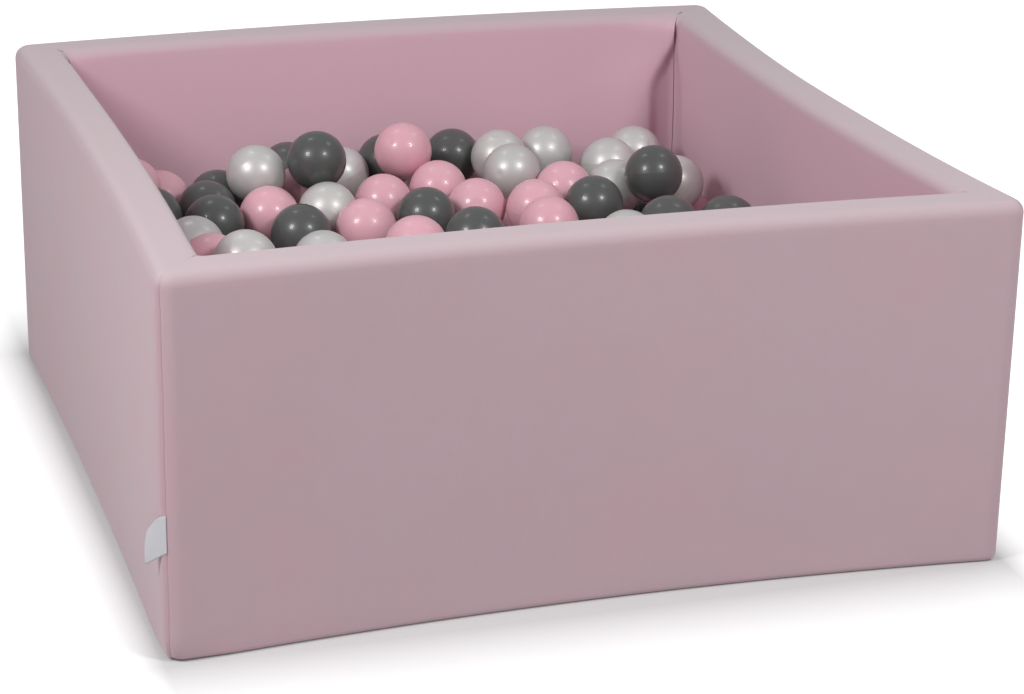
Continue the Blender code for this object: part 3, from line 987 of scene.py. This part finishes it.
def makeStitches():
    low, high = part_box("zip_tape")
    bm = bmesh.new()
    pitch = zipper["stitch"] + zipper["stitchGap"]
    size = Matrix.Diagonal((zipper["stitch"], zipper["thread"], zipper["thread"], 1))
    for index in range(int((high.x - low.x) / pitch)):
        for row in (-1, 1):
            z = (low.z + high.z) / 2 + row * zipper["stitchRow"]
            place = Matrix.Translation((low.x + (index + 0.5) * pitch, high.y + zipper["stitchOff"], z))
            bmesh.ops.create_cube(bm, size=1, matrix=place @ size)
    bevelEdges(bm, bm.edges[:], zipper["threadEdge"], 1)
    newPiece("zip_stitches", bm, materials["zip_tape"])


def refine(node, name, body):
    # the solid's own form, with its edges eased
    bm = bmesh.new()
    bm.from_mesh(frame["nodes"][node].data)
    bmesh.ops.remove_doubles(bm, verts=bm.verts[:], dist=1e-6)
    bmesh.ops.dissolve_limit(bm, angle_limit=math.radians(1), verts=bm.verts[:], edges=bm.edges[:])
    bevelEdges(bm, sharpEdges(bm, zipper["metalDegrees"]), zipper["edge"], 2)
    newPiece(name, bm, materials["zip_metal"], body=body, replaces=[node])


makeTape()
makeCoil()
makeStitches()
refine("zip_slider", "zip_slider_body", "slider")
refine("zip_pull_tab", "zip_pull", "pull")
print("zip made")

# A loop of satin tape sewn into the front left corner seam, left bare
label = {
    "width": 0.024,
    "height": 0.046,
    "thickness": 0.0003,
    "steps": (36, 22),
    "foot": 0.110,
    "turn": 135,             # degrees, out of the corner
    "gap": 0.0012,
    "gapShares": (0.35, 0.9),    # of the gap: at the seam, and what is added halfway out
    "gapRound": 0.7,
    "creased": 0.02,         # the share of its length where the two layers meet in the fold
    "droop": 0.0085,
    "droopRound": 1.4,
    "roundTop": 0.015,
    "roundTopOut": 2.2,
    "sewnIn": 0.007,
    "sewnInRound": 1.5,
    "taper": 0.12,
    "sway": 0.0016,
    "swayTurns": 4.2,
    "swayStart": 0.6,
    "lean": 0.05,
}


def labelPlace(across, up):
    # across is -1 to 1 from seam to seam, over the fold, and up is 0 to 1
    out = 1 - abs(across)                    # 0 at the seam, 1 at the fold
    gap = 0.0
    if abs(across) > label["creased"]:
        least, more = label["gapShares"]
        share = least + more * math.sin(math.pi * min(out, 1.0)) ** label["gapRound"]
        gap = label["gap"] * share * math.copysign(1, across)
    # its lower edge is gathered up into the seam, and its fold hangs
    gather = label["sewnIn"] * (1 - up) * (1 - out) ** label["sewnInRound"]
    drop = label["droop"] * out ** label["droopRound"] * (1 - 0.5 * up)
    drop += label["roundTop"] * up ** 4 * out ** label["roundTopOut"]
    sway = label["sway"] * math.sin(up * label["swayTurns"] + label["swayStart"]) * out ** 2
    lean = label["lean"] * out ** 2 * label["width"]
    length = out * label["width"] * (1 - label["taper"] * up ** 3)
    return Vector((length, gap / 2 + sway + lean, up * label["height"] + gather - drop))


def makeLabel():
    bm = newCloth(*label["steps"])
    seam = pit["half"] - pit["cornerRadius"] * (1 - math.cos(math.pi / 4))
    root = bowed((-seam, -seam, label["foot"]))
    turn = Matrix.Rotation(math.radians(label["turn"]), 3, "Z")
    flat = {}
    for vert in bm.verts:
        across, up = vert.co.x, (vert.co.y + 1) / 2
        flat[vert] = (across * label["width"], up * label["height"])
        vert.co = root + turn @ labelPlace(across, up)
    layCloth(bm, flat)
    piece = newPiece("side_label_loop", bm, materials["label"], replaces=["side_label"])
    addModifier(piece, "SOLIDIFY", thickness=label["thickness"], offset=0)


makeLabel()
print("label sewn in")

studio = {
    "floorHalf": 20,
    "floorColor": 0.62,
    "floorGlowAndPaintedShadow": (0.03, 0.88),       # beside the pit, low for a painted shadow, and far from it
    "paintedShadowReach": (0.042, 0.15),      # how far the painted shadow reaches, across and along
    "worldLevel": 0.38,
    "middle": (-0.10, -0.20, 0.25),  # what the lamps are turned to
    "boxes": {                       # direction from the pit, distance, size, power
        "box front left": ((-0.715, -0.260, 0.650), 2.3, 0.66, 27.0),
        "box front right": ((0.371, -0.613, 0.697), 2.6, 0.60, 26.0),
        "box back left": ((-0.157, 0.561, 0.813), 2.2, 0.40, 1.6),
        "box back right": ((0.563, 0.227, 0.794), 2.2, 0.40, 1.6),
    },
}


def addArea(name, place, target, size, power):
    lamp = bpy.data.lights.new(name, "AREA")
    lamp.shape = "DISK"
    lamp.size = size
    lamp.energy = power
    holder = bpy.data.objects.new(name, lamp)
    holder.location = place
    holder.rotation_euler = (target - place).to_track_quat("-Z", "Y").to_euler()
    scene.collection.objects.link(holder)


def seenDirectly(tree):
    # 1 where the camera sees it, itself or in gloss or glass, and 0 where it only lights
    rays = addNode(tree, "LightPath").outputs
    mirrored = maths(tree, "MAXIMUM", rays["Is Glossy Ray"], rays["Is Transmission Ray"])
    return maths(tree, "MAXIMUM", rays["Is Camera Ray"], mirrored)


def floorGlowAndPaintedShadow(tree):
    # the paper glows white away from the pit; beside the pit the glow is turned down, a painted shadow on top of
    # the shadow the lamps cast
    axes = axesOf(tree, objectPlace(tree))
    steps = []
    for axis, reach in zip("XY", studio["paintedShadowReach"]):
        past = maths(tree, "SUBTRACT", maths(tree, "ABSOLUTE", axes[axis]), pit["half"])
        steps.append(maths(tree, "MULTIPLY", maths(tree, "MAXIMUM", past, 0.0), -1 / reach))
    # painted shadow: 1 at the pit's foot, fading to 0 away from it
    paintedShadowShare = maths(tree, "EXPONENT", maths(tree, "ADD", *steps))
    near, far = studio["floorGlowAndPaintedShadow"]
    level = maths(tree, "ADD", maths(tree, "MULTIPLY", paintedShadowShare, near - far), far)
    return addNode(tree, "Emission", {"Strength": maths(tree, "MULTIPLY", seenDirectly(tree), level)}).outputs[0]


def makeFloor():
    bm = bmesh.new()
    bmesh.ops.create_grid(bm, x_segments=2, y_segments=2, size=studio["floorHalf"])
    ground = bpy.data.objects.new("studio_floor", meshOf(bm, "studio_floor"))
    scene.collection.objects.link(ground)
    material = bpy.data.materials.new("studio floor")
    material.use_nodes = True
    tree = material.node_tree
    tree.nodes.clear()
    paper = addNode(tree, "BsdfDiffuse", {"Color": (studio["floorColor"],) * 3 + (1,)}).outputs[0]
    both = addNode(tree, "AddShader", {0: paper, 1: floorGlowAndPaintedShadow(tree)}).outputs[0]
    addNode(tree, "OutputMaterial", {"Surface": both})
    ground.data.materials.append(material)


def makeLight():
    world = bpy.data.worlds.new("studio")
    world.use_nodes = True
    sky = world.node_tree.nodes["Background"]
    sky.inputs["Color"].default_value = (1, 1, 1, 1)
    sky.inputs["Strength"].default_value = studio["worldLevel"]
    scene.world = world
    middle = Vector(studio["middle"])
    for name, (aim, distance, size, power) in studio["boxes"].items():
        addArea(name, middle + Vector(aim).normalized() * distance, middle, size, power)


camera = {
    "place": (-0.884, -2.834, 1.227),
    "turn": (1.2159, -0.0162, -0.3101),
    "lens": 97.2,
    "sensor": 36,
    "shift": (0.0017, -0.0004),
    "clip": (0.05, 60),
}


def makeCamera():
    data = bpy.data.cameras.new("camera")
    data.sensor_width = camera["sensor"]
    data.lens = camera["lens"]
    data.shift_x, data.shift_y = camera["shift"]
    data.clip_start, data.clip_end = camera["clip"]
    holder = bpy.data.objects.new("camera", data)
    holder.location = camera["place"]
    holder.rotation_euler = camera["turn"]
    scene.collection.objects.link(holder)
    scene.camera = holder


makeFloor()
makeLight()
makeCamera()
scene.view_settings.view_transform = "Standard"
print("studio set")
